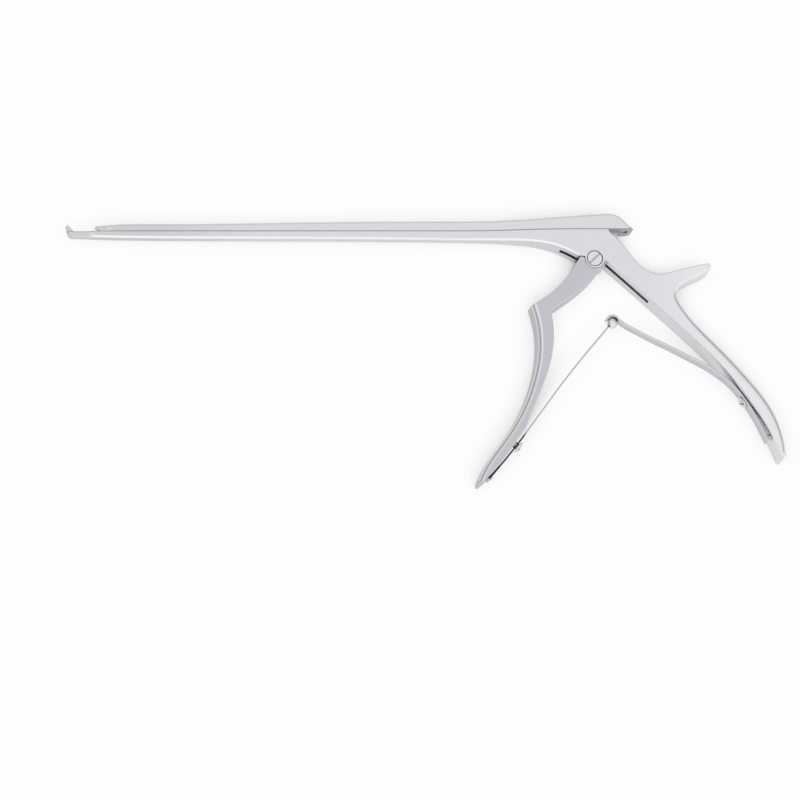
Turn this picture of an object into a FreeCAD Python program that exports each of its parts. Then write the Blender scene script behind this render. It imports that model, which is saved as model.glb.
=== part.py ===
import FreeCAD, Part
import math
import os
import Sketcher

# Laminectomy punch lying on its side, in millimetres.
# X runs from the cutting tip towards the handles, Y across them, Z through the thickness.
# The pivot axis is X = 0, Y = 0 and the resting plane is Z = 0.

V = FreeCAD.Vector
doc = FreeCAD.newDocument("BonePunch")
sheet = doc.addObject("Spreadsheet::Sheet", "Params")
sheet.Label = "Params"

SIZES = [
    ("working_length", 200.0),
    ("frame_thickness", 10.0),
    ("shaft_width", 4.6),
    ("tip_width", 2.9),
    ("joint_height", 11.4),
    ("foot_height", 2.5),
    ("foot_lean", 38.0),
    ("jaw_opening", 10.4),
    ("running_gap", 0.03),
    ("boss_radius", 3.7),
    ("boss_gap", 0.15),
    ("slot_width", 3.2),
    ("web_gap", 0.1),
    ("hub_radius", 4.8),
    ("pivot_diameter", 4.0),
    ("pivot_head_diameter", 5.8),
    ("pivot_head_depth", 1.2),
    ("pivot_head_gap", 0.14),
    ("pivot_head_chamfer", 0.3),
    ("bore_gap", 0.05),
    ("drive_rise", 1.9),
    ("drive_swing", 43.0),
    ("drive_ratio", 13.8),
    ("drive_pin_diameter", 2.0),
    ("drive_pin_share", 0.86),
    ("fork_gap", 0.12),
    ("arm_overreach", 1.9),
    ("key_neck_width", 1.5),
    ("key_head_width", 2.7),
    ("key_length", 8.0),
    ("key_depth", 1.9),
    ("key_head_height", 0.8),
    ("key_gap", 0.06),
    ("front_key_setback", 44.0),
    ("rear_key_place", 40.0),
    ("entry_travel", 12.0),
    ("shaft_chamfer", 0.75),
    ("slide_chamfer", 0.6),
    ("handle_round", 3.0),
    ("spur_round", 1.5),
    ("handle_tip_round", 1.6),
    ("trigger_round", 2.4),
    ("leaf_thickness", 0.8),
    ("leaf_width", 5.0),
    ("ball_diameter", 4.0),
    ("socket_gap", 0.1),
    ("tongue_width", 2.0),
    ("screw_head_diameter", 4.6),
    ("screw_head_height", 1.2),
    ("screw_slot_width", 0.7),
    ("screw_slot_depth", 0.6),
    ("screw_diameter", 2.6),
    ("screw_depth", 2.8),
    ("screw_seat_gap", 0.12),
    ("front_leaf_gap", 0.7),
    ("rear_leaf_gap", 0.15),
    ("tail_pin_diameter", 1.4),
    ("tail_pin_depth", 2.2),
    ("tail_pin_stand", 0.3),
    ("leaf_hole_gap", 0.1),
]

DERIVED = [
    ("drive_height", "=joint_height + drive_rise"),
    ("arm_radius", "=drive_height + arm_overreach"),
    ("drive_pin_length", "=frame_thickness * drive_pin_share"),
    ("front_key_place", "=working_length - front_key_setback"),
]

row = 1
for alias, number in SIZES + DERIVED:
    sheet.set("A%d" % row, alias)
    sheet.set("B%d" % row, str(number))
    sheet.setAlias("B%d" % row, alias)
    row = row + 1
doc.recompute()


def size(alias):
    return float(sheet.get(alias))


joint = size("joint_height")
reach = -size("working_length")
half = size("frame_thickness") / 2
outer = half + 1
swing = math.radians(size("drive_swing") / 2)
travel = size("drive_ratio") * 2 * swing


def plane_of(body, role):
    for item in body.Origin.OriginFeatures:
        if item.Role == role:
            return item


def new_body(label):
    body = doc.addObject("PartDesign::Body", label)
    body.Label = label
    return body


def new_sketch(body, role):
    sketch = body.newObject("Sketcher::SketchObject", "Outline")
    sketch.AttachmentSupport = [(plane_of(body, role), "")]
    sketch.MapMode = "FlatFace"
    return sketch


def outline(sketch, start, steps):
    """Closes a chain of lines, arcs (middle, end), curves and sweeps (curves led by their end ways)."""
    here = V(start[0], start[1], 0)
    first = here
    for step in steps:
        points = [V(p[0], p[1], 0) for p in step[1:]]
        if step[0] == "line":
            for point in points:
                sketch.addGeometry(Part.LineSegment(here, point), False)
                here = point
            continue
        if step[0] == "arc":
            sketch.addGeometry(Part.Arc(here, points[0], points[1]), False)
        if step[0] == "curve":
            spline = Part.BSplineCurve()
            spline.interpolate([here] + points)
            sketch.addGeometry(spline, False)
        if step[0] == "sweep":
            spline = Part.BSplineCurve()
            spline.interpolate(Points=[here] + points[2:], InitialTangent=points[0], FinalTangent=points[1])
            sketch.addGeometry(spline, False)
        here = points[-1]
    if here.sub(first).Length > 1e-6:
        sketch.addGeometry(Part.LineSegment(here, first), False)


def box_outline(sketch, low, high):
    corners = [(high[0], low[1]), (high[0], high[1]), (low[0], high[1]), (low[0], low[1])]
    outline(sketch, low, [("line", corners[0], corners[1], corners[2], corners[3])])


def round_outline(sketch, alias, extra=""):
    """Draws a circle on the sketch's own origin whose radius is half the named size, plus an extra."""
    sketch.addGeometry(Part.Circle(V(0, 0, 0), V(0, 0, 1), size(alias) / 2), False)
    sketch.addConstraint(Sketcher.Constraint("Coincident", 0, 3, -1, 1))
    radius = sketch.addConstraint(Sketcher.Constraint("Radius", 0, size(alias) / 2))
    sketch.renameConstraint(radius, "radius")
    sketch.setExpression("Constraints.radius", "Params.%s / 2%s" % (alias, extra))


def pad(body, sketch, length):
    feature = body.newObject("PartDesign::Pad", "Pad")
    feature.Profile = sketch
    feature.setExpression("Length", length)
    feature.Midplane = True
    sketch.Visibility = False
    doc.recompute()
    return feature


def pocket(body, sketch, length=None):
    feature = body.newObject("PartDesign::Pocket", "Pocket")
    feature.Profile = sketch
    feature.Midplane = True
    if length is None:
        feature.Type = 1
    else:
        feature.setExpression("Length", length)
    sketch.Visibility = False
    doc.recompute()
    return feature


def edges_where(body, test):
    names = []
    for number, edge in enumerate(body.Shape.Edges):
        if test(edge, edge.BoundBox):
            names.append("Edge%d" % (number + 1))
    return names


def dress(body, kind, amount, test):
    base = body.Tip
    feature = body.newObject("PartDesign::" + kind, kind)
    feature.Base = (base, edges_where(body, test))
    if kind == "Fillet":
        feature.setExpression("Radius", amount)
    else:
        feature.setExpression("Size", amount)
    doc.recompute()
    return feature


def drill(body, radius, height, place, direction):
    feature = body.newObject("PartDesign::SubtractiveCylinder", "Drill")
    feature.setExpression("Radius", radius)
    feature.setExpression("Height", height)
    feature.Placement = FreeCAD.Placement(place, FreeCAD.Rotation(V(0, 0, 1), direction))
    doc.recompute()
    return feature


def lift(body):
    body.setExpression("Placement.Base.z", "Params.frame_thickness / 2")


def waist(sketch, tip_end):
    """Draws what is cut from both sides so that the thick end narrows to the shaft and its ground tip."""
    side = size("shaft_width") / 2
    tip_side = size("tip_width") / 2
    for sign in (1, -1):
        outline(sketch, (reach - 2, sign * tip_side), [
            ("line", (tip_end, sign * tip_side), (tip_end + 1.5, sign * side), (-46, sign * side)),
            ("sweep", (1, 0.03 * sign), (1, 0), (-36, sign * (side * 0.8 + half * 0.2)),
             (-24, sign * (side * 0.35 + half * 0.65)), (-14, sign * (side * 0.07 + half * 0.93)),
             (-8, sign * half)),
            ("line", (-8, sign * outer), (reach - 2, sign * outer)),
        ])


def long_edge(sign, near):
    """Picks the longest outline edge on the side face at Z = sign * half whose box passes the test."""
    def test(edge, box):
        return abs(box.ZMin - sign * half) < 1e-3 and box.ZLength < 1e-3 and edge.Length > 60 and near(box)
    return test


# Frame: footplate, lower shaft, pivot boss, thumb spur and rear handle
frame_body = new_body("frame_body")
foot = size("foot_height")
lean = math.tan(math.radians(size("foot_lean")))
foot_corner = reach + 0.4 + foot * lean
boss = size("boss_radius")
sketch = new_sketch(frame_body, "XY_Plane")
notch = math.radians(-12)
handle_tip = (68.0, -76.0)
handle_middle = (58.6, -49.1)
handle_way = (-0.6, 0.8)
spur_end = (42.9, -5.2)
boss_start = math.radians(167)
boss_low = math.radians(-100)
outline(sketch, (foot_corner, joint), [
    ("line", (reach + 0.4, joint + foot), (reach, joint + foot - 0.3)),
    ("curve", (reach + 0.4, joint + 0.3), (reach + 1.1, joint - 1.5), (reach + 3.2, joint - 2.1)),
    ("curve", (reach + 16.3, joint - 2.5), (reach + 36, joint - 2.8), (-80, joint - 3.2),
     (-43.5, joint - 3.7), (-26, joint - 4.3), (-16, joint - 5.9), (-10.5, joint - 8.0),
     (-6.3, joint - 10.3)),
    ("line", (boss * math.cos(boss_start), boss * math.sin(boss_start))),
    ("arc", (boss * math.cos(boss_low), boss * math.sin(boss_low)),
     (boss * math.cos(notch), boss * math.sin(notch))),
    ("line", (4.3, -0.8)),
    ("curve", (16.4, -12.2), (30.8, -26.1), (44.0, -39.6), (53.4, -51.7), (60.2, -62.8), (65.95, -76.55)),
    ("arc", (67.0, -77.3), handle_tip),
    ("sweep", (0.12, 1), handle_way, (67.6, -69.0), (65.0, -59.9), handle_middle),
    ("sweep", handle_way, (0.85, 0.52), (46.7, -35.0), (35.9, -23.3), (31.6, -17.0), (30.6, -13.8),
     (32.0, -11.1), (36.7, -8.4), spur_end),
    ("line", (43.9, -4.2), (44.0, -2.9), (43.1, -2.1)),
    ("curve", (36.0, -3.6), (28.3, -5.6), (24.2, -6.3), (19.8, -4.9), (13.5, 1.6), (7.1, joint - 2.0)),
    ("line", (6.0, joint - 0.7), (6.0, joint)),
])
pad(frame_body, sketch, "Params.frame_thickness")

plan = new_sketch(frame_body, "XZ_Plane")
waist(plan, reach + 8.5)
pocket(frame_body, plan)

dress(frame_body, "Chamfer", "Params.shaft_chamfer", lambda edge, box: (
    box.XMin > reach + 9 and box.XMax < -45 and box.XLength > 0.5 and box.YMax < joint - 1
    and box.ZMax * box.ZMin > 0))

slot = new_sketch(frame_body, "XY_Plane")
outline(slot, (-12.4, -8), [
    ("line", (-12.4, 3.0), (-10.8, joint + 1), (14, joint + 1), (14, 5.2), (10.4, 5.2)),
    ("curve", (11.6, 1.6), (14, -2.4), (18.2, -6.6)),
    ("arc", (21.5, -10.5), (20.2, -15.8)),
    ("line", (12, -24)),
])
pocket(frame_body, slot, "Params.slot_width")

front_key = -size("front_key_place")
rear_key = -size("rear_key_place")
key_length = size("key_length")
key_gap = size("key_gap")
key_floor = joint - size("key_depth") - key_gap
key_roof = joint - size("key_depth") + size("key_head_height") + key_gap
necks = new_sketch(frame_body, "XY_Plane")
heads = new_sketch(frame_body, "XY_Plane")
entries = new_sketch(frame_body, "XY_Plane")
for key in (front_key, rear_key):
    begin = key - travel - key_gap * 5
    end = key + size("entry_travel") + key_length
    box_outline(necks, (begin, key_floor), (end, joint + 1))
    box_outline(heads, (begin, key_floor), (end, key_roof))
    box_outline(entries, (end - key_length - key_gap * 5, key_floor), (end, joint + 1))
pocket(frame_body, necks, "Params.key_neck_width + 2 * Params.key_gap")
pocket(frame_body, heads, "Params.key_head_width + 2 * Params.key_gap")
pocket(frame_body, entries, "Params.key_head_width + 2 * Params.key_gap")

bore = new_sketch(frame_body, "XY_Plane")
round_outline(bore, "pivot_diameter")
pocket(frame_body, bore)
sink = new_sketch(frame_body, "XY_Plane")
sink.setExpression("AttachmentOffset.Base.z", "Params.frame_thickness / 2")
round_outline(sink, "pivot_head_diameter", " + Params.pivot_head_gap")
pocket(frame_body, sink, "2 * Params.pivot_head_depth")

# Where the rear leaf is held on the inner face of the rear handle
rear_seat = V(54.85, -53.9, 0)
rear_out = V(-0.83, -0.558, 0)
rear_tail = V(62.6, -68.2, 0)
rear_tail_out = V(-0.925, -0.38, 0)
drill(frame_body, "Params.screw_diameter / 2", "Params.screw_depth + 1", rear_seat + rear_out, rear_out * -1)
drill(frame_body, "Params.tail_pin_diameter / 2", "Params.tail_pin_depth + 1", rear_tail + rear_tail_out,
      rear_tail_out * -1)
lift(frame_body)
doc.recompute()


def runs_between(edge, first, second):
    """Gives 1 or -1 for a side face's edge that joins two outline points forwards or backwards, else 0."""
    if edge.BoundBox.ZLength > 1e-3 or 1e-3 < edge.BoundBox.ZMin < 2 * half - 1e-3:
        return 0
    ends = [edge.valueAt(edge.FirstParameter), edge.valueAt(edge.LastParameter)]
    for direction in (1, -1):
        gaps = [math.hypot(end.x - point[0], end.y - point[1]) for end, point in zip(ends, (first, second))]
        if max(gaps) < 1e-3:
            return direction
        ends.reverse()
    return 0


# The hand round is widest in the middle of the handle and runs out towards its tip and the spur
rounds = []
for number, edge in enumerate(frame_body.Shape.Edges):
    for first, second, first_round, second_round in (
        (handle_tip, handle_middle, size("handle_tip_round"), size("handle_round")),
        (handle_middle, spur_end, size("handle_round"), size("spur_round")),
    ):
        direction = runs_between(edge, first, second)
        if direction == 1:
            rounds.append((number + 1, first_round, second_round))
        if direction == -1:
            rounds.append((number + 1, second_round, first_round))
frame = doc.addObject("Part::Fillet", "frame")
frame.Base = frame_body
frame.Edges = rounds
frame.Label = "frame"
doc.recompute()

# Slide: cutting tip, upper shaft, two undercut keys and the slot for the trigger's arm
slide = new_body("slide")
bed = joint + size("running_gap")
cut_x = foot_corner + size("jaw_opening")
cut_rise = 1.95
sketch = new_sketch(slide, "XY_Plane")
outline(sketch, (cut_x, bed), [
    ("line", (cut_x - cut_rise * lean, bed + cut_rise)),
    ("curve", (reach + 14, joint + 2.15), (reach + 18.5, joint + 2.55), (reach + 31.6, joint + 2.8),
     (-110, joint + 3.4), (-54, joint + 3.8), (-27.3, joint + 4.05), (-12.3, joint + 4.8),
     (2, joint + 5.8), (5.7, joint + 6.0), (8.4, joint + 5.7), (11.5, joint + 3.9), (14.2, joint + 1.1),
     (15.6, bed + 0.3)),
    ("line", (15.6, bed)),
])
pad(slide, sketch, "Params.frame_thickness")
plan = new_sketch(slide, "XZ_Plane")
waist(plan, reach + 15.5)
for sign in (1, -1):
    outline(plan, (13.2, sign * outer), [
        ("line", (13.2, sign * half)),
        ("arc", (15.0, sign * (half - 0.8)), (16.2, sign * (half - 2.8))),
        ("line", (18, sign * (half - 2.8)), (18, sign * outer)),
    ])
pocket(slide, plan)
dress(slide, "Chamfer", "Params.slide_chamfer", lambda edge, box: (
    box.XMin > reach + 16 and edge.Length > 15 and box.YMin > joint + 1 and box.ZMax * box.ZMin > 0))
keys = new_sketch(slide, "XY_Plane")
key_heads = new_sketch(slide, "XY_Plane")
for key in (front_key, rear_key):
    box_outline(keys, (key, joint - size("key_depth")), (key + key_length, bed + 0.2))
    box_outline(key_heads, (key, joint - size("key_depth")),
                (key + key_length, joint - size("key_depth") + size("key_head_height")))
pad(slide, keys, "Params.key_neck_width")
pad(slide, key_heads, "Params.key_head_width")
arm_room = new_sketch(slide, "XY_Plane")
ceiling = size("arm_radius") + 0.3
outline(arm_room, (-1.2, joint - 1), [
    ("line", (14.0, joint - 1), (14.0, bed + 0.9)),
    ("curve", (11.5, ceiling - 0.6), (9.0, ceiling)),
    ("line", (1.3, ceiling)),
    ("arc", (-0.5, ceiling - 0.7), (-1.2, ceiling - 2.5)),
])
pocket(slide, arm_room, "Params.slot_width")
pin_x = size("drive_ratio") * swing
drill(slide, "Params.drive_pin_diameter / 2", "Params.drive_pin_length",
      V(pin_x, size("drive_height"), -half), V(0, 0, 1))
lift(slide)

drive_pin = new_body("drive_pin")
sketch = new_sketch(drive_pin, "XY_Plane")
round_outline(sketch, "drive_pin_diameter")
pin_pad = pad(drive_pin, sketch, "Params.drive_pin_length")
pin_pad.Midplane = False
drive_pin.setExpression("Placement.Base.x", "Params.drive_ratio * Params.drive_swing / 2 * pi / 180")
drive_pin.setExpression("Placement.Base.y", "Params.drive_height")

# Trigger: front handle, cheeks round the boss, thin web with the forked drive arm
trigger = new_body("trigger")
ring = boss + size("boss_gap")
ring_end = math.radians(-58)
ring_low = math.radians(-120)
sketch = new_sketch(trigger, "XY_Plane")
outline(sketch, (-ring, 0), [
    ("line", (-4.4, 0.65), (-5.6, 0.6)),
    ("curve", (-9.1, -4.7), (-15.2, -11.5), (-25.2, -18.2)),
    ("curve", (-23.7, -25.8), (-23.5, -32.5), (-25.8, -45.0), (-31.0, -57.8), (-39.1, -70.2), (-46.4, -79.9),
     (-49.4, -85.4)),
    ("line", (-49.5, -86.8), (-48.5, -86.9)),
    ("curve", (-46.7, -85.5), (-36.7, -74.1), (-30.6, -66.2)),
    ("curve", (-25.7, -55.2), (-19.8, -41.3), (-17.6, -29.0), (-17.9, -22.8)),
    ("arc", (-17.6, -20.7), (-16.2, -19.1)),
    ("curve", (-8.5, -14.0), (-1.3, -8.0), (2.3, -3.95)),
    ("line", (ring * math.cos(ring_end), ring * math.sin(ring_end))),
    ("arc", (ring * math.cos(ring_low), ring * math.sin(ring_low)), (-ring, 0)),
])
pad(trigger, sketch, "Params.frame_thickness")
for sign in (1, -1):
    dress(trigger, "Fillet", "Params.trigger_round", long_edge(sign, lambda box: box.XMin < -45))

web = new_sketch(trigger, "XY_Plane")
hub = size("hub_radius")
arm = size("arm_radius")


def on_ring(radius, degrees):
    return (radius * math.cos(math.radians(degrees)), radius * math.sin(math.radians(degrees)))


rest_angle = 90 - size("drive_swing") / 2
outline(web, on_ring(hub, 150), [
    ("line", on_ring(arm - 2.2, rest_angle + 15)),
    ("arc", on_ring(arm - 0.6, rest_angle + 12), on_ring(arm, rest_angle + 8)),
    ("arc", on_ring(arm, rest_angle - 4), on_ring(arm, rest_angle - 16)),
    ("arc", on_ring(arm - 0.5, rest_angle - 21), (9.9, 10.6)),
    ("line", (9.7, 8.0), on_ring(hub, 5)),
    ("arc", on_ring(hub, -25), on_ring(hub, -55)),
    ("line", (-2.4, -7.9), (-9.0, -8.0), on_ring(hub, 190)),
    ("arc", on_ring(hub, 170), on_ring(hub, 150)),
])
pad(trigger, web, "Params.slot_width - 2 * Params.web_gap")
hub_bore = new_sketch(trigger, "XY_Plane")
round_outline(hub_bore, "pivot_diameter", " + Params.bore_gap")
pocket(trigger, hub_bore)
fork = new_sketch(trigger, "XY_Plane")
fork_half = size("drive_pin_diameter") / 2 + size("fork_gap")
along = V(math.cos(math.radians(rest_angle)), math.sin(math.radians(rest_angle)), 0)
across = V(-along.y, along.x, 0)
fork_seat = size("drive_height") - 0.15
fork_open = arm + 1
left_low = along * fork_seat + across * fork_half
right_low = along * fork_seat - across * fork_half
floor_mid = along * (fork_seat - fork_half)
left_top = along * fork_open + across * fork_half
right_top = along * fork_open - across * fork_half
outline(fork, (left_top.x, left_top.y), [
    ("line", (left_low.x, left_low.y)),
    ("arc", (floor_mid.x, floor_mid.y), (right_low.x, right_low.y)),
    ("line", (right_top.x, right_top.y)),
])
pocket(trigger, fork)

front_seat = V(-34.3, -71.0, 0)
front_out = V(0.785, -0.619, 0)
front_tail = V(-45.1, -83.6, 0)
drill(trigger, "Params.screw_diameter / 2", "Params.screw_depth + 1", front_seat + front_out, front_out * -1)
drill(trigger, "Params.tail_pin_diameter / 2", "Params.tail_pin_depth + 1", front_tail + front_out,
      front_out * -1)
lift(trigger)


# Leaf springs: strips of even thickness laid along a curve
STRIP_STEPS = 10


def strip_sides(points, last_tangent):
    """Gives the points of both long sides of a strip whose middle line passes the given points."""
    places = [V(p[0], p[1], 0) for p in points]
    middle = Part.BSplineCurve()
    middle.interpolate(Points=places, InitialTangent=places[1] - places[0], FinalTangent=last_tangent)
    first, last = middle.FirstParameter, middle.LastParameter
    sides = []
    for sign in (1, -1):
        side_points = []
        for step in range(STRIP_STEPS + 1):
            at = first + (last - first) * step / STRIP_STEPS
            tangent = middle.tangent(at)[0]
            normal = V(-tangent.y, tangent.x, 0)
            point = middle.value(at) + normal * (sign * size("leaf_thickness") / 2)
            side_points.append((point.x, point.y))
        sides.append(side_points)
    return sides


ball = V(6.0, -23.9, 0)
socket_in = size("ball_diameter") / 2 + size("socket_gap")
socket_out = socket_in + size("leaf_thickness")


def round_ball(radius, degrees):
    place = on_ring(radius, degrees)
    return (ball.x + place[0], ball.y + place[1])


rear_spring = new_body("rear_spring")
sketch = new_sketch(rear_spring, "XY_Plane")
leaf_start = round_ball((socket_in + socket_out) / 2 + 0.55, -6)
above, below = strip_sides([
    (62.3, -69.9), (58.8, -61.8), (54.6, -54.6), (50.1, -48.5), (44.4, -43.5), (30, -35.1), (17, -28.4),
    leaf_start,
], V(-1, 0.5, 0))
outline(sketch, above[0], [
    ("curve",) + tuple(above[1:]),
    ("line", round_ball(socket_in, -16)),
    ("arc", round_ball(socket_in, 67), round_ball(socket_in, 150)),
    ("line", round_ball(socket_out, 150)),
    ("arc", round_ball(socket_out, 84), round_ball(socket_out, 18)),
    ("line", below[-1]),
    ("curve",) + tuple(reversed(below[:-1])),
])
pad(rear_spring, sketch, "Params.leaf_width")
screw_hole = "Params.screw_diameter / 2 + Params.leaf_hole_gap"
pin_hole = "Params.tail_pin_diameter / 2 + Params.leaf_hole_gap"
drill(rear_spring, screw_hole, "6", rear_seat + rear_out * 4, rear_out * -1)
drill(rear_spring, pin_hole, "6", rear_tail + rear_tail_out * 4, rear_tail_out * -1)
lift(rear_spring)

front_spring = new_body("front_spring")
sketch = new_sketch(front_spring, "XY_Plane")
leaf_way = V(0.72, 0.694, 0)
leaf_end = ball - leaf_way * (size("ball_diameter") / 2 + 0.5)
above, below = strip_sides([
    (-45.1, -85.2), (-34.9, -73.5), (-29.7, -67.0), (-23.6, -58.9), (-11.8, -44.0), (leaf_end.x, leaf_end.y),
], leaf_way)
outline(sketch, above[0], [
    ("curve",) + tuple(above[1:]),
    ("line", below[-1]),
    ("curve",) + tuple(reversed(below[:-1])),
])
pad(front_spring, sketch, "Params.leaf_width")
drill(front_spring, screw_hole, "6", front_seat + front_out * 4, front_out * -1)
drill(front_spring, pin_hole, "6", front_tail + front_out * 4, front_out * -1)
tongue = new_sketch(front_spring, "XY_Plane")
leaf_side = V(-leaf_way.y, leaf_way.x, 0) * (size("leaf_thickness") / 2)
tongue_root = leaf_end - leaf_way * 0.3
tongue_tip = ball - leaf_way * 0.8
corners = [tongue_root + leaf_side, tongue_tip + leaf_side, tongue_tip - leaf_side, tongue_root - leaf_side]
outline(tongue, (corners[0].x, corners[0].y), [
    ("line", (corners[1].x, corners[1].y), (corners[2].x, corners[2].y), (corners[3].x, corners[3].y)),
])
pad(front_spring, tongue, "Params.tongue_width")
lift(front_spring)

round_ball_shape = doc.addObject("Part::Sphere", "ball_blank")
round_ball_shape.setExpression("Radius", "Params.ball_diameter / 2")
round_ball_shape.Placement.Base = V(ball.x, ball.y, half)
tongue_room = doc.addObject("Part::Box", "tongue_room")
tongue_room.setExpression("Width", "Params.leaf_thickness")
tongue_room.setExpression("Height", "Params.tongue_width")
tongue_room.Length = size("ball_diameter")
turn = FreeCAD.Rotation(V(0, 0, 1), math.degrees(math.atan2(leaf_way.y, leaf_way.x)))
room_corner = ball - leaf_way * (0.8 + size("ball_diameter")) - leaf_side
tongue_room.Placement = FreeCAD.Placement(
    V(room_corner.x, room_corner.y, half - size("tongue_width") / 2), turn)
spring_ball = doc.addObject("Part::Cut", "spring_ball")
spring_ball.Base = round_ball_shape
spring_ball.Tool = tongue_room
spring_ball.Label = "spring_ball"


# Screws and pins: profiles turned about their own axis, then set in place
def turned(label, start, steps):
    body = new_body(label)
    profile = new_sketch(body, "XZ_Plane")
    outline(profile, start, steps)
    feature = body.newObject("PartDesign::Revolution", "Turn")
    feature.Profile = profile
    feature.ReferenceAxis = (profile, ["V_Axis"])
    feature.Angle = 360
    profile.Visibility = False
    doc.recompute()
    return body


def set_along(body, place, direction):
    body.Placement = FreeCAD.Placement(place, FreeCAD.Rotation(V(0, 0, 1), direction))


slot_side = size("screw_slot_width") / 2
slot_depth = size("screw_slot_depth")


def cut_slot(body, top):
    cross = new_sketch(body, "YZ_Plane")
    box_outline(cross, (-slot_side, top - slot_depth), (slot_side, top + 1))
    pocket(body, cross)


head = size("pivot_head_diameter") / 2
rim = size("pivot_head_chamfer")
shank = size("pivot_diameter") / 2
head_floor = -size("pivot_head_depth")
pivot_screw = turned("pivot_screw", (0, 0), [
    ("line", (head - rim, 0), (head, -rim), (head, head_floor), (shank, head_floor), (shank, -2 * half),
     (0, -2 * half)),
])
cut_slot(pivot_screw, 0)
pivot_screw.Placement = FreeCAD.Placement(V(0, 0, 2 * half), FreeCAD.Rotation(V(0, 0, 1), 43))

head = size("screw_head_diameter") / 2
rise = size("screw_head_height")
shank = size("screw_diameter") / 2
seat_depth = size("screw_depth")
for label, seat, out, gap in [
    ("front_spring_screw", front_seat, front_out, size("front_leaf_gap")),
    ("rear_spring_screw", rear_seat, rear_out, size("rear_leaf_gap")),
]:
    under = gap + size("leaf_thickness") + size("screw_seat_gap")
    body = turned(label, (0, under + rise), [
        ("arc", (head * 0.72, under + rise * 0.72), (head, under + rise * 0.3)),
        ("line", (head, under), (shank, under), (shank, -seat_depth), (0, -seat_depth)),
    ])
    cut_slot(body, under + rise)
    set_along(body, seat + V(0, 0, half), out)

pin = size("tail_pin_diameter") / 2
pin_depth = size("tail_pin_depth")
for label, seat, out, gap in [
    ("front_spring_pin", front_tail, front_out, size("front_leaf_gap")),
    ("rear_spring_pin", rear_tail, rear_tail_out, size("rear_leaf_gap")),
]:
    stand = gap + size("leaf_thickness") + size("tail_pin_stand")
    body = turned(label, (0, stand), [
        ("line", (pin * 0.6, stand), (pin, stand - pin * 0.4), (pin, -pin_depth), (0, -pin_depth)),
    ])
    set_along(body, seat + V(0, 0, half), out)

doc.recompute()
bad = []
for item in doc.Objects:
    if "Invalid" in item.State or "Error" in item.State:
        bad.append("%s %s" % (item.Name, item.State))
if bad:
    raise RuntimeError("; ".join(bad))

NODES = [
    frame, slide, drive_pin, trigger, rear_spring, front_spring, spring_ball, pivot_screw,
    doc.getObject("front_spring_screw"), doc.getObject("rear_spring_screw"),
    doc.getObject("front_spring_pin"), doc.getObject("rear_spring_pin"),
]
os.makedirs("parts", exist_ok=True)
for node in NODES:
    shape = node.Shape
    if shape.isNull() or not shape.isValid() or len(shape.Solids) != 1:
        raise RuntimeError("bad shape " + node.Label)
    shape.exportStep("parts/" + node.Label + ".step")
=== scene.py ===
import math
import bpy
import bmesh
from mathutils import Matrix, Vector


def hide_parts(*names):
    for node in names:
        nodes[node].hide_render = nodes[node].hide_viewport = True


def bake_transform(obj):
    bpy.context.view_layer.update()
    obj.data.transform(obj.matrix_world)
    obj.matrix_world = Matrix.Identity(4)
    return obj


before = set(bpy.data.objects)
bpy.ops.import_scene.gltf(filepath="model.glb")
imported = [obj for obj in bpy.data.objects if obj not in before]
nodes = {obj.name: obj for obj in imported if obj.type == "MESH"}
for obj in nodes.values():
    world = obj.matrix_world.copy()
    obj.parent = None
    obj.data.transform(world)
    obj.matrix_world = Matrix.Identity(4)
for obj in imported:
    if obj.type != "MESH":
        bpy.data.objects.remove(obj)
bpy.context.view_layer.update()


# Frame: one stainless steel forging with the footplate, lower shaft, pivot boss, thumb spur and rear handle.
# It is ground flat on its sides, brushed along the shaft and down the handle, and its edges are broken by hand.
class Shade:
    """One value in a material's nodes; sums and products with it add Math nodes to that material."""

    def __init__(self, tree, socket=None):
        self.tree = tree
        self.socket = socket

    def node(self, kind, settings=(), sockets=(), out=0):
        made = self.tree.nodes.new(kind)
        for name, value in dict(settings).items():
            if name == "stops":
                ramp = made.color_ramp
                while len(ramp.elements) < len(value):
                    ramp.elements.new(0.5)
                for stop, (place, tone) in zip(ramp.elements, value):
                    stop.position = place
                    stop.color = (tone, tone, tone, 1)
            else:
                setattr(made, name, value)
        for name, value in dict(sockets).items():
            if isinstance(value, Shade):
                self.tree.links.new(value.socket, made.inputs[name])
            else:
                made.inputs[name].default_value = value
        return Shade(self.tree, made.outputs[out] if made.outputs else None)

    def _maths(self, operation, first, second):
        return self.node("ShaderNodeMath", {"operation": operation}, {0: first, 1: second})

    def __add__(self, other):
        return self._maths("ADD", self, other)

    def __sub__(self, other):
        return self._maths("SUBTRACT", self, other)

    def __rsub__(self, other):
        return self._maths("SUBTRACT", other, self)

    def __mul__(self, other):
        return self._maths("MULTIPLY", self, other)

    __radd__ = __add__
    __rmul__ = __mul__


def new_material(name):
    made = bpy.data.materials.new(name)
    made.use_nodes = True
    made.node_tree.nodes.clear()
    return made, Shade(made.node_tree)


def axis(start, vector, number):
    """One of the three numbers of a vector."""
    return start.node("ShaderNodeSeparateXYZ", {}, {"Vector": vector}, out=number)


def size_of(start, value):
    """A value without its sign."""
    return start.node("ShaderNodeMath", {"operation": "ABSOLUTE"}, {0: value})


def fade(start, value, low, high, first, last):
    """Goes smoothly from first to last while the value goes from low to high."""
    return start.node("ShaderNodeMapRange", {"interpolation_type": "SMOOTHSTEP"}, {
        "Value": value, "From Min": low, "From Max": high, "To Min": first, "To Max": last})


def lay_over(start, share, under, over):
    """The colour under, with this share of the colour over laid on it."""
    return start.node("ShaderNodeMix", {"data_type": "RGBA"}, {"Factor": share, 6: under, 7: over}, out=2)


def metal(tone, green, blue):
    """A colour of this red tone and these shares of it in green and blue."""
    return min(1, tone), min(1, tone * green), min(1, tone * blue), 1


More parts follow.
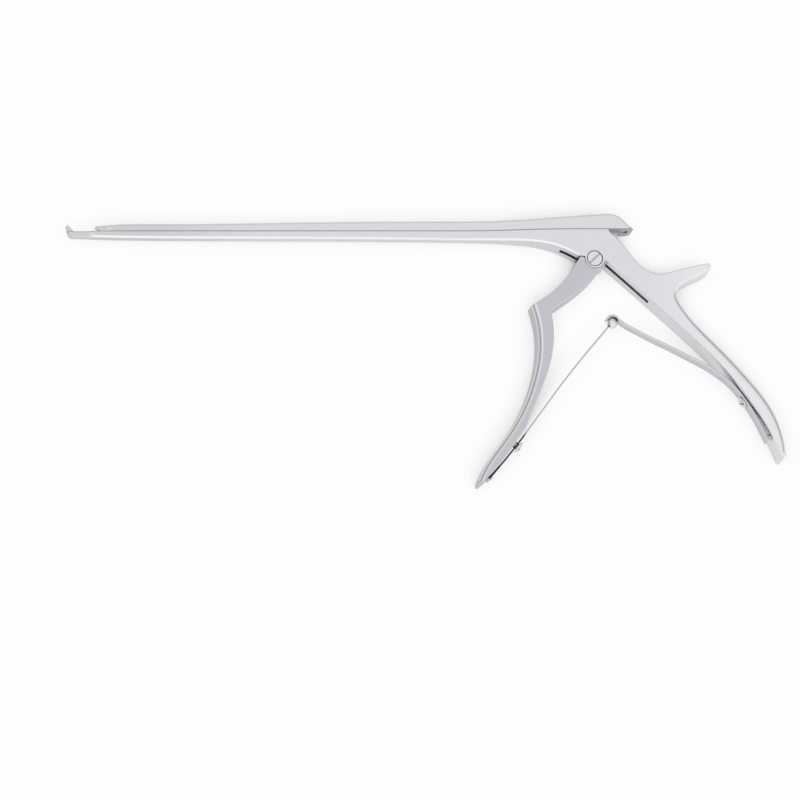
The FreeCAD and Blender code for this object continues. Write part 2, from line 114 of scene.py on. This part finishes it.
def brushed(start, place, degrees, line):
    """Fine lines left by the belt, which run at this angle on the side faces; line is their width in metres."""
    lines_per_metre_along = 70
    turned = start.node("ShaderNodeMapping", {"vector_type": "POINT"}, {
        "Vector": place, "Rotation": (0, 0, -math.radians(degrees)),
        "Scale": (lines_per_metre_along, 1 / line, 1 / line)})
    return start.node("ShaderNodeTexNoise", {}, {
        "Vector": turned, "Scale": 1.0, "Detail": 3.0, "Roughness": 0.6})


def steel(name, tone, polish, lines, line_width=0.00025, edge=0.0005, relief=0.10, cool=1.035, seam=None,
          worn=None, ends=(), recess_shade=None, shaded_foot=None):
    """Stainless steel of this tone and roughness. lines gives the brushing angle, or (angle, angle, from_x, to_x).
    edge is the radius to which edges are broken, relief the depth of the brushing, and cool how much bluer than grey
    the steel is. seam is the height in Y of a sliding joint, along which a thin dark band is painted as the shade of
    its gap. worn is the tone of the rounds and edges that hands polish, ends gives (from_x, to_x, tone) for each end
    with another polish, and recess_shade is the tone of the painted shade to which ambient occlusion darkens narrow
    recesses. shaded_foot gives (from_x, to_x) for the foot of a leaf, whose narrow edges are painted near black as
    the shade of the gap between it and its handle."""
    made, start = new_material(name)
    place = start.node("ShaderNodeTexCoord", out=3)
    along = axis(start, place, 0)
    broken = start.node("ShaderNodeBevel", {"samples": 8}, {"Radius": edge})
    levelness = size_of(start, axis(start, broken, 2))
    streak = brushed(start, place, lines[0], line_width)
    if len(lines) > 1:
        share = fade(start, along, lines[2], lines[3], 0.0, 1.0)
        streak = streak * (1 - share) + brushed(start, place, lines[1], line_width) * share
    cloud = start.node("ShaderNodeTexNoise", {}, {
        "Vector": place, "Scale": 85.0, "Detail": 2.0, "Roughness": 0.5})
    pits = start.node("ShaderNodeTexNoise", {}, {
        "Vector": place, "Scale": 5200.0, "Detail": 1.0, "Roughness": 0.5})
    colour = lay_over(start, streak * 0.55 + cloud * 0.45,
                      metal(tone * 0.955, 0.95 / 0.955, cool), metal(tone * 1.04, 1.035 / 1.04, cool))
    for begins, full, end_tone in ends:
        colour = lay_over(start, fade(start, along, begins, full, 0.0, 0.8), colour, metal(end_tone, 1, 1.005))
    if worn is not None:
        rounded = fade(start, levelness, 0.93, 0.995, 1.0, 0.0) * fade(start, levelness, 0.1, 0.45, 0.0, 1.0)
        colour = lay_over(start, rounded, colour, metal(worn, 0.995, 1.015))
    if seam is not None:
        # A thin dark band along the sliding joint: painted shade standing in for the shadow in the joint's narrow
        # gap.
        painted_seam_shade = fade(start, size_of(start, axis(start, place, 1) - seam), 0.0001, 0.0003, 0.6, 0.0)
        colour = lay_over(start, painted_seam_shade, colour, metal(tone * 0.3, 1, 1))
    if recess_shade is not None:
        # Painted shade: narrow recesses are darkened where ambient occlusion finds them shut in.
        clear = start.node("ShaderNodeAmbientOcclusion", {"samples": 8}, {"Distance": 0.0009}, out=1)
        colour = lay_over(start, fade(start, clear, 0.35, 0.80, 0.8, 0.0), colour, metal(recess_shade, 1, 1))
    if shaded_foot is not None:
        # Painted shade: the narrow edges of a leaf's foot are painted near black for the shadow in the gap beside its
        # handle.
        foot = fade(start, along, shaded_foot[0], shaded_foot[1], 0.0, 0.95)
        narrow = fade(start, levelness, 0.25, 0.6, 0.0, 1.0)
        colour = lay_over(start, foot * narrow, colour, (0.006, 0.006, 0.007, 1))
    softness = (streak - 0.5) * 0.10 + (cloud - 0.5) * 0.12 + polish
    height = streak * 0.7 + pits * 0.3
    normal = start.node("ShaderNodeBump", {}, {
        "Strength": relief, "Distance": 0.00003, "Height": height, "Normal": broken})
    surface = start.node("ShaderNodeBsdfPrincipled", {}, {
        "Base Color": colour, "Metallic": 1.0, "Roughness": softness, "Normal": normal})
    start.node("ShaderNodeOutputMaterial", {}, {"Surface": surface})
    return made


def dress(node, material):
    piece = nodes[node]
    piece.data.materials.clear()
    piece.data.materials.append(material)


# Frame and slide both paint a thin dark band of shade along the joint line where they meet.
joint_line = 0.01142
ground_tip = (-0.120, -0.175, 0.70)
hand_polish = (0.010, 0.045, 0.95)
forged = steel("frame_steel", 0.83, 0.26, (0, -50, -0.004, 0.012), seam=joint_line, worn=0.93,
               ends=(hand_polish, ground_tip))
dress("frame", forged)

# Slide: the upper shaft, milled from bar and brushed along its length, with its edges broken.
# Two undercut keys hold it to the frame, and it runs along the frame's upper face.
sliding = steel("slide_steel", 0.82, 0.24, (0,), seam=joint_line, worn=0.88, ends=(ground_tip,))
dress("slide", sliding)

# Trigger: the front handle, forged and rounded over, then brushed down its length.
# Its thin web runs in the frame's slot and ends in the fork that drives the slide.
# Its flat faces are given a darker tone than the frame's: painted shade, standing in for the dimmer reflection of
# their differently turned brushing.
pulled = steel("trigger_steel", 0.64, 0.30, (62,), cool=1.075, worn=0.90)
dress("trigger", pulled)

# Pivot screw, spring screws and pins: turned steel with a finer, rounder finish than the forgings.
# Their slots and the rings round their heads are darkened a little by painted shade from ambient occlusion.
turned_steel = steel("screw_steel", 0.86, 0.22, (43,), line_width=0.0004, edge=0.00015, recess_shade=0.25)
for small in ("pivot_screw", "drive_pin", "front_spring_screw", "rear_spring_screw",
              "front_spring_pin", "rear_spring_pin"):
    dress(small, turned_steel)

# Ball: hardened and polished steel on the end of the front leaf, which rolls in the rear leaf's curl.
# The ball also takes a little painted shade from ambient occlusion where it is shut in.
dress("spring_ball", steel("ball_steel", 0.86, 0.12, (0,), edge=0.00005, relief=0.04, recess_shade=0.15))


# Leaf springs: strips of bright spring steel, bent cold, each held on its handle by a screw and a pin.
# The rear one is curled into a socket at its end, and the front one carries the ball.
middle_plane = 0.005
taper_share = 0.5
softened_edge = 0.00012


def leaf(name, middle, width, tip_width, thickness):
    """A strip of this width along a middle line in millimetres, which narrows over the last taper_share of it."""
    line = bpy.data.curves.new(name + "_line", "CURVE")
    line.dimensions = "3D"
    spline = line.splines.new("BEZIER")
    spline.bezier_points.add(len(middle) - 1)
    for point, (x, y) in zip(spline.bezier_points, middle):
        point.co = (x / 1000, y / 1000, 0)
        point.handle_left_type = "AUTO"
        point.handle_right_type = "AUTO"
    spline.resolution_u = 8
    holder = bpy.data.objects.new(name + "_line", line)
    path = bpy.data.meshes.new_from_object(holder)
    bpy.data.objects.remove(holder)
    strip = bmesh.new()
    strip.from_mesh(path)
    raised = bmesh.ops.extrude_edge_only(strip, edges=strip.edges[:])
    upper = [v for v in raised["geom"] if isinstance(v, bmesh.types.BMVert)]
    bmesh.ops.translate(strip, verts=upper, vec=(0, 0, 1))
    strip.normal_update()
    reach = (Vector(middle[-1]) - Vector(middle[0])).length / 1000
    last = Vector((middle[-1][0] / 1000, middle[-1][1] / 1000))
    for vert in strip.verts:
        far = min(1, (vert.co.xy - last).length / reach / taper_share)
        share = far * far * (3 - 2 * far)
        half_width = (tip_width + (width - tip_width) * share) / 2
        side = 1 if vert.co.z > 0.5 else -1
        vert.co = Vector((vert.co.x, vert.co.y, middle_plane + side * half_width)) - vert.normal * (thickness / 2)
    bmesh.ops.solidify(strip, geom=strip.faces[:], thickness=-thickness)
    bmesh.ops.recalc_face_normals(strip, faces=strip.faces[:])
    sharp_edges = [e for e in strip.edges if e.calc_face_angle(0) > 1.0]
    bmesh.ops.bevel(strip, geom=sharp_edges, offset=softened_edge, affect="EDGES", segments=2, profile=0.5,
                    material=-1)
    mesh = bpy.data.meshes.new(name)
    strip.to_mesh(mesh)
    strip.free()
    for face in mesh.polygons:
        face.use_smooth = True
    piece = bpy.data.objects.new(name, mesh)
    bpy.context.scene.collection.objects.link(piece)
    return piece


rear_steel = steel("rear_leaf_steel", 0.70, 0.25, (35,), edge=0.00025, worn=0.90)
# The front leaf's foot has its narrow edges painted near black, a painted shade for the gap between it and the
# trigger.
front_steel = steel("front_leaf_steel", 0.60, 0.25, (52,), edge=0.00025, worn=0.70, shaded_foot=(-0.0295, -0.0312))
ball_x, ball_y = 6.0, -23.9
curl_radius = 2.5
curl = [(ball_x + curl_radius * math.cos(math.radians(a)), ball_y + curl_radius * math.sin(math.radians(a)))
        for a in (20, 52, 84, 117, 150)]
rear_middle = [(62.15, -70.0), (58.65, -61.9), (54.6, -54.6), (50.1, -48.5), (44.4, -43.5), (30, -35.1),
               (17, -28.4)] + curl
rear_leaf = leaf("rear_leaf_strip", rear_middle, 0.005, 0.0042, 0.0007)
rear_leaf.data.materials.append(rear_steel)
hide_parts("rear_spring")
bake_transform(rear_leaf)

front_middle = [(-45.25, -85.05), (-35.05, -73.35), (-29.85, -66.9), (-23.6, -58.9), (-11.8, -44.0), (4.2, -25.65)]
front_leaf = leaf("front_leaf_strip", front_middle, 0.005, 0.0036, 0.0006)
front_leaf.data.materials.append(front_steel)
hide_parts("front_spring")
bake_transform(front_leaf)

# Floor: a plain white sheet just under the instrument, glowing white for the camera and for reflections close by.
# Its glow carries a painted contact shadow from ambient occlusion, near black in narrow gaps, and farther reflections
# see a dark matt sheet.
sheet = bpy.data.meshes.new("floor")
floor_shape = bmesh.new()
floor_gap = 0.00004
bmesh.ops.create_grid(floor_shape, x_segments=1, y_segments=1, size=3)
bmesh.ops.translate(floor_shape, verts=floor_shape.verts[:], vec=(0, 0, -floor_gap))
floor_shape.to_mesh(sheet)
floor_shape.free()
floor = bpy.data.objects.new("floor", sheet)
bpy.context.scene.collection.objects.link(floor)
paper, start = new_material("floor_white")
camera_ray = start.node("ShaderNodeLightPath", out=0)
glossy_ray = start.node("ShaderNodeLightPath", out=3)
clear_ray = start.node("ShaderNodeLightPath", out=6)
ray_length = start.node("ShaderNodeLightPath", out=7)
# Reflections see the white glow only near the instrument and a dark matt floor farther off: painted darkness in the
# steel's reflections.
close = fade(start, ray_length, 0.012, 0.032, 0.75, 0.04)
seen = start.node("ShaderNodeMath", {"operation": "MINIMUM"}, {
    0: camera_ray + clear_ray + glossy_ray * close, 1: 1.0})
leaning = start.node("ShaderNodeCombineXYZ", {}, {"X": -0.10, "Y": -0.45, "Z": 0.89})
# The glow is darkened by ambient occlusion, leaned towards the near side, into a painted contact shadow that turns
# near black in narrow gaps.
open_air = start.node("ShaderNodeAmbientOcclusion", {"samples": 14}, {"Distance": 0.010, "Normal": leaning}, out=1)
painted_contact_shadow = start.node("ShaderNodeValToRGB", {"stops": (
    (0.0, 0.02), (0.2, 0.10), (0.36, 0.66), (0.5, 0.84), (0.7, 0.955), (0.9, 1.0))}, {"Fac": open_air})
matt = start.node("ShaderNodeBsdfDiffuse", {}, {"Color": (0.25, 0.25, 0.255, 1)})
glow = start.node("ShaderNodeEmission", {}, {"Color": painted_contact_shadow, "Strength": 1.0})
mixed = start.node("ShaderNodeMixShader", {}, {0: seen * 0.98, 1: matt, 2: glow})
start.node("ShaderNodeOutputMaterial", {}, {"Surface": mixed})
floor.data.materials.append(paper)

# Light: a pale tent over the table with a bright panel along its near side and darker skirts round the rest,
# which give the steel its thin dark edges, and one weak, soft lamp over the near side.
sky = bpy.data.worlds.new("tent")
sky.use_nodes = True
sky.node_tree.nodes.clear()
start = Shade(sky.node_tree)
way = start.node("ShaderNodeTexCoord", out=0)
sideways, across, height = (axis(start, way, number) for number in range(3))
skirt = start.node("ShaderNodeValToRGB", {"stops": (
    (0.0, 0.22), (0.22, 0.28), (0.45, 0.50), (0.66, 0.80), (0.90, 0.86), (1.0, 0.86))}, {"Fac": height})
panel = start.node("ShaderNodeValToRGB", {"stops": (
    (0.0, 0.85), (0.15, 0.93), (0.45, 0.93), (0.66, 0.88), (0.90, 0.86), (1.0, 0.86))}, {"Fac": height})
near_side = fade(start, sideways * 0.45 - across, 0.05, 0.6, 0.0, 1.0)
tent = lay_over(start, near_side, skirt, panel)
seen = start.node("ShaderNodeLightPath", out=0)
backdrop = lay_over(start, seen, tent, (1, 1, 1, 1))
lit = start.node("ShaderNodeBackground", {}, {"Color": backdrop, "Strength": 1.0})
start.node("ShaderNodeOutputWorld", {}, {"Surface": lit})
bpy.context.scene.world = sky

lamp = bpy.data.lights.new("soft_lamp", "AREA")
lamp.shape = "DISK"
lamp.size = 0.6
lamp.energy = 0.12
lamp_holder = bpy.data.objects.new("soft_lamp", lamp)
lamp_place = Vector((-0.10, -0.90, 0.45))
lamp_holder.location = lamp_place
instrument_middle = Vector((-0.07, -0.04, 0))
lamp_holder.rotation_euler = (lamp_place - instrument_middle).to_track_quat("Z", "Y").to_euler()
bpy.context.scene.collection.objects.link(lamp_holder)

# Camera: above the instrument, a little to the lower left, far off and level with the shaft.
view = bpy.data.cameras.new("camera")
view.type = "ORTHO"
view.ortho_scale = 0.298
view.clip_start = 0.1
view.clip_end = 10
camera = bpy.data.objects.new("camera", view)
right = Vector((0.9758, -0.0630, 0.2095))
upward = Vector((0, 0.9576, 0.2880))
back = right.cross(upward).normalized()
picture_middle = Vector((-0.07087, -0.04607, -0.02045))
spot = picture_middle + back * 1.6
camera.matrix_world = Matrix.Translation(spot) @ Matrix((right, upward, back)).transposed().to_4x4()
bpy.context.scene.collection.objects.link(camera)
bpy.context.scene.camera = camera

bpy.context.scene.view_settings.view_transform = "Standard"
